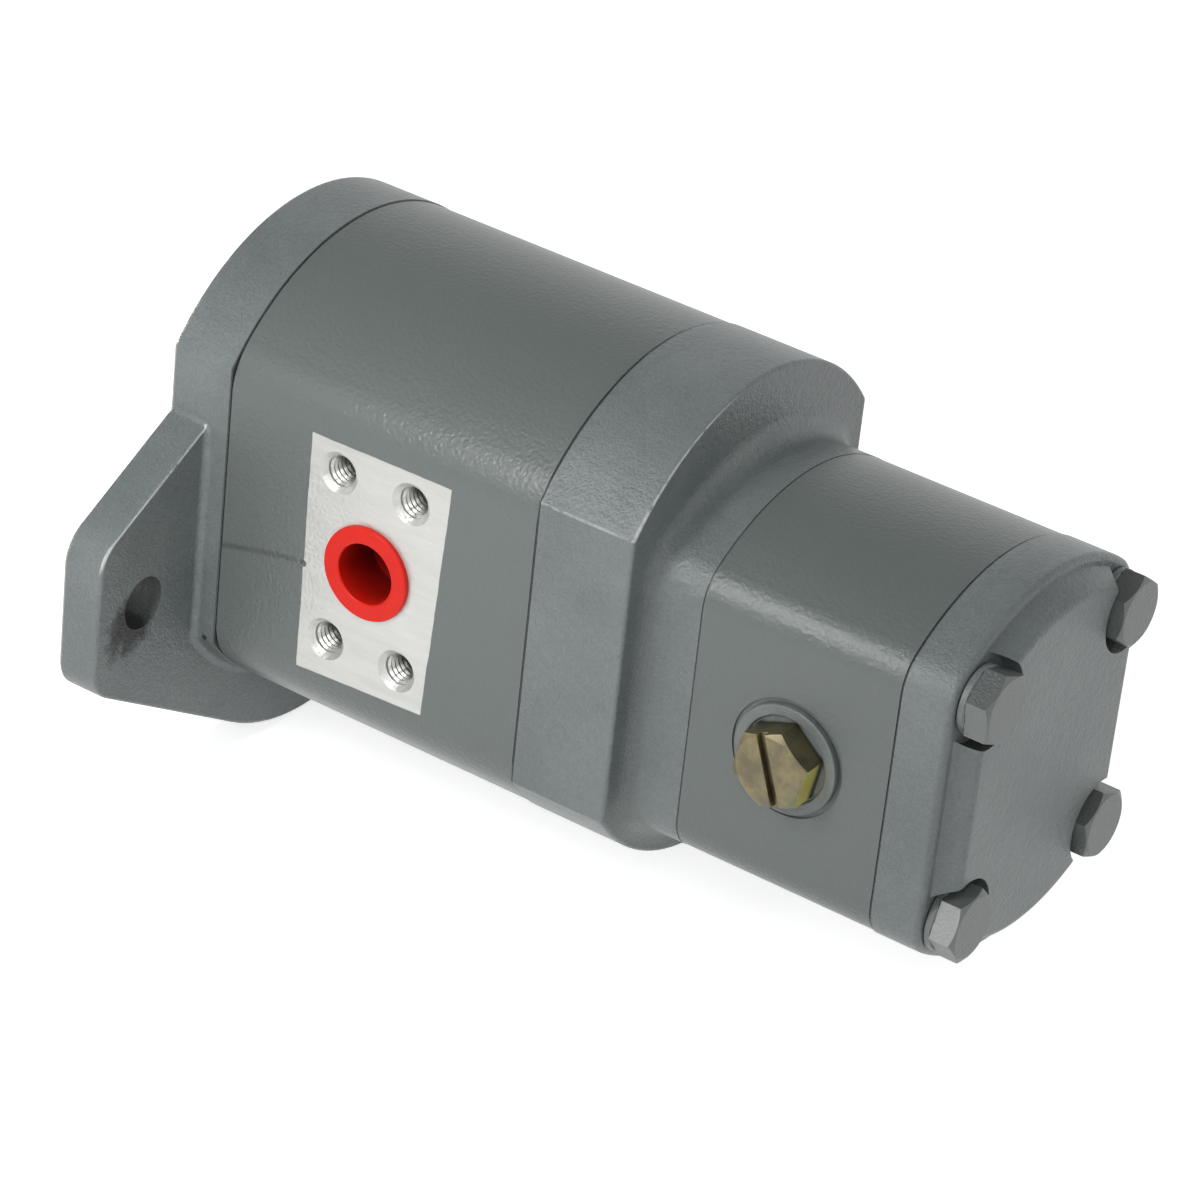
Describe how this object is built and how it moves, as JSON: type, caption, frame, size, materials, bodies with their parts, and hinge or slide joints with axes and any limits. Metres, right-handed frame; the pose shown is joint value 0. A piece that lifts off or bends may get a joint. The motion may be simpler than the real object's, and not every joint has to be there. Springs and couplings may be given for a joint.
{
  "type": "tandem hydraulic gear pump",
  "caption": "Tandem hydraulic pump with meshing gear stages in line behind a two-bolt pilot flange, driven by one splined shaft.",
  "frame": {"origin": "on the shaft axis at the mounting face, centre of the pilot", "axes": "+X along the shaft from the mounting face to the rear cover, +Z from the drive gears to the driven gears, outlets face -Y and the common inlet faces +Y"},
  "size_m": [0.2663, 0.1812, 0.1489],
  "materials": {
    "cast_paint": "satin grey-green paint over a cast skin",
    "body_paint": "smooth satin grey-green paint, bare machined port pads",
    "bolt_paint": "satin grey-green paint",
    "washer_paint": "satin grey-green paint",
    "zinc_plate": "yellow passivated zinc plating",
    "red_plastic": "moulded polyethylene, slightly glossy",
    "block_alloy": "machined",
    "bush_bronze": "sintered bronze",
    "ground_steel": "ground",
    "black_steel": "black oxide",
    "spring_steel": "phosphated",
    "seal_rubber": "matt black"
  },
  "bodies": {
    "housing": {"front_cover": "cast_paint", "front_body": "body_paint", "intermediate_cover": "cast_paint", "rear_body": "body_paint", "rear_cover": "cast_paint", "front_stage_block_front": "block_alloy", "front_stage_block_rear": "block_alloy", "rear_stage_block_front": "block_alloy", "rear_stage_block_rear": "block_alloy", "front_bushes": "bush_bronze", "rear_bushes": "bush_bronze", "front_body_seals": "seal_rubber", "rear_body_seals": "seal_rubber", "front_block_seals": "seal_rubber", "rear_block_seals": "seal_rubber", "shaft_seal": "seal_rubber", "retaining_ring": "spring_steel", "front_dowels": "ground_steel", "rear_dowels": "ground_steel", "front_tie_screws": "black_steel", "rear_bolts": "bolt_paint", "rear_washers": "washer_paint", "port_plug": "zinc_plate", "plug_seal": "washer_paint"},
    "drive_train": {"drive_gear_shaft": "ground_steel", "shaft_coupling": "ground_steel", "rear_drive_gear": "ground_steel"},
    "front_driven": {"front_driven_gear": "ground_steel"},
    "rear_driven": {"rear_driven_gear": "ground_steel"},
    "outlet_cap": {"outlet_cap": "red_plastic"},
    "inlet_cap": {"inlet_cap": "red_plastic"}
  },
  "joints": [
    {"name": "drive_spin", "type": "hinge", "parent": "housing", "child": "drive_train", "pos_m": [0, 0, 0], "axis": [1, 0, 0], "continuous": true},
    {"name": "front_driven_spin", "type": "hinge", "parent": "housing", "child": "front_driven", "pos_m": [0, 0, 0.042], "axis": [1, 0, 0], "continuous": true},
    {"name": "rear_driven_spin", "type": "hinge", "parent": "housing", "child": "rear_driven", "pos_m": [0, 0, 0.03], "axis": [1, 0, 0], "continuous": true},
    {"name": "outlet_cap_pull", "type": "slide", "parent": "housing", "child": "outlet_cap", "axis": [0, -1, 0], "range_m": [0, 0.03]},
    {"name": "inlet_cap_pull", "type": "slide", "parent": "housing", "child": "inlet_cap", "axis": [0, 1, 0], "range_m": [0, 0.03]}
  ],
  "couplings": [
    {"joint": "front_driven_spin", "follows": "drive_spin", "ratio": -1},
    {"joint": "rear_driven_spin", "follows": "drive_spin", "ratio": -1}
  ]
}
